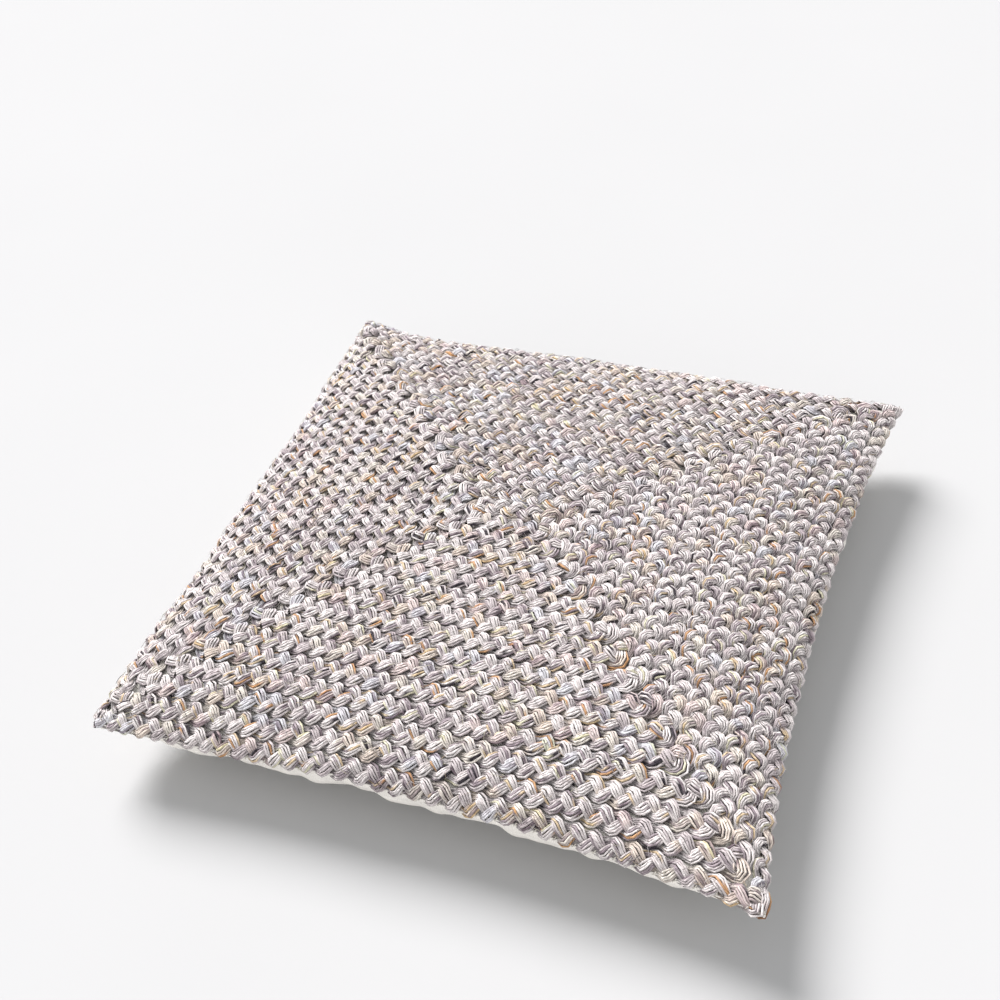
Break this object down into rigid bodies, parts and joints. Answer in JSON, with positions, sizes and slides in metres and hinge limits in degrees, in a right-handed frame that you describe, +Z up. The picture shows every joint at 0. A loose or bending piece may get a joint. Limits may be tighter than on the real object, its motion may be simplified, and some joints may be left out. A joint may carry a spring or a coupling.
{
  "type": "throw pillow",
  "caption": "Square throw pillow with a face of braided yarn rounds, a plain cotton back with a side zip, and a loose insert pad.",
  "frame": {"origin": "centre of the footprint, on the surface that the pillow lies on", "axes": "+Z up through the middle of the braided face; the zip is along the +Y side; X runs along the zip and the middle slit"},
  "size_m": [0.4912, 0.4912, 0.0943],
  "materials": {
    "braided_yarn": "thick wool-like yarn in flat three-strand braids, warm light grey with tan and mauve flecks",
    "joining_thread": "matte cotton thread",
    "cotton_lining": "plain woven cotton",
    "cotton_back": "plain woven cream cotton, matte",
    "cotton_thread": "matte cotton thread",
    "label_satin": "white satin ribbon, blank",
    "zip_tape": "woven polyester tape",
    "zip_nylon": "nylon coil",
    "zip_metal": "die-cast metal, cream enamel",
    "insert_cotton": "thin woven cotton",
    "fibre_fill": "loose polyester fibre"
  },
  "bodies": {
    "pillow": {"braid_round_01": "braided_yarn", "braid_round_02": "braided_yarn", "braid_round_03": "braided_yarn", "braid_round_04": "braided_yarn", "braid_round_05": "braided_yarn", "braid_round_06": "braided_yarn", "braid_round_07": "braided_yarn", "braid_round_08": "braided_yarn", "braid_round_09": "braided_yarn", "braid_round_10": "braided_yarn", "braid_round_11": "braided_yarn", "braid_round_12": "braided_yarn", "braid_round_13": "braided_yarn", "braid_round_14": "braided_yarn", "braid_round_15": "braided_yarn", "joining_thread": "joining_thread", "front_lining": "cotton_lining", "back_panel": "cotton_back", "edge_seam_thread": "cotton_thread", "care_label": "label_satin", "zip_tape_upper": "zip_tape", "zip_tape_lower": "zip_tape", "zip_coil_upper": "zip_nylon", "zip_coil_lower": "zip_nylon", "zip_top_stops": "zip_metal", "zip_bottom_stop": "zip_metal", "insert_shell_front": "insert_cotton", "insert_shell_back": "insert_cotton", "insert_seam_thread": "cotton_thread", "insert_fill": "fibre_fill"},
    "slider": {"zip_slider": "zip_metal"},
    "pull": {"zip_pull": "zip_metal"}
  },
  "joints": [
    {"name": "zip_slide", "type": "slide", "parent": "pillow", "child": "slider", "axis": [1, 0, 0], "range_m": [0, 0.25]},
    {"name": "pull_hinge", "type": "hinge", "parent": "slider", "child": "pull", "pos_m": [-0.124, 0.23885, 0.03276], "axis": [0, 0.4384, 0.8988], "range_deg": [0, 170]}
  ]
}
